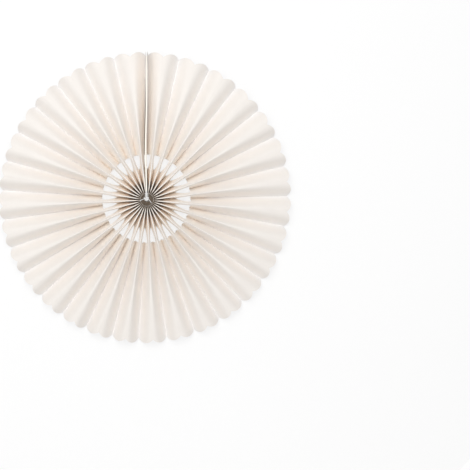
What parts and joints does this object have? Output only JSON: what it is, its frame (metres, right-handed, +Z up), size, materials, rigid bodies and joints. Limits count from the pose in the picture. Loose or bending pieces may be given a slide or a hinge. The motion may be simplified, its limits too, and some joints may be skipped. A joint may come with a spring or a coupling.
{
  "type": "paper fan rosette",
  "caption": "Pleated paper fan opened to a full disc, with a scalloped rim, a ring of punched windows, a glued fin and a hub tied with thread; a wall or party decoration.",
  "frame": {"origin": "the hub's centre in the plane of the back folds, on the wall", "axes": "+Z up along the glued fin, the front faces -Y, the wall is behind at +Y, +X to the viewer's right"},
  "size_m": [0.3991, 0.033, 0.3995],
  "materials": {
    "paper": "matte ivory white, uncoated",
    "tape": "white double-sided foam tape",
    "thread": "white twisted cotton"
  },
  "bodies": {
    "root": {"pleated_paper": "paper", "seam_tape": "tape", "tie_thread": "thread"}
  },
  "joints": []
}
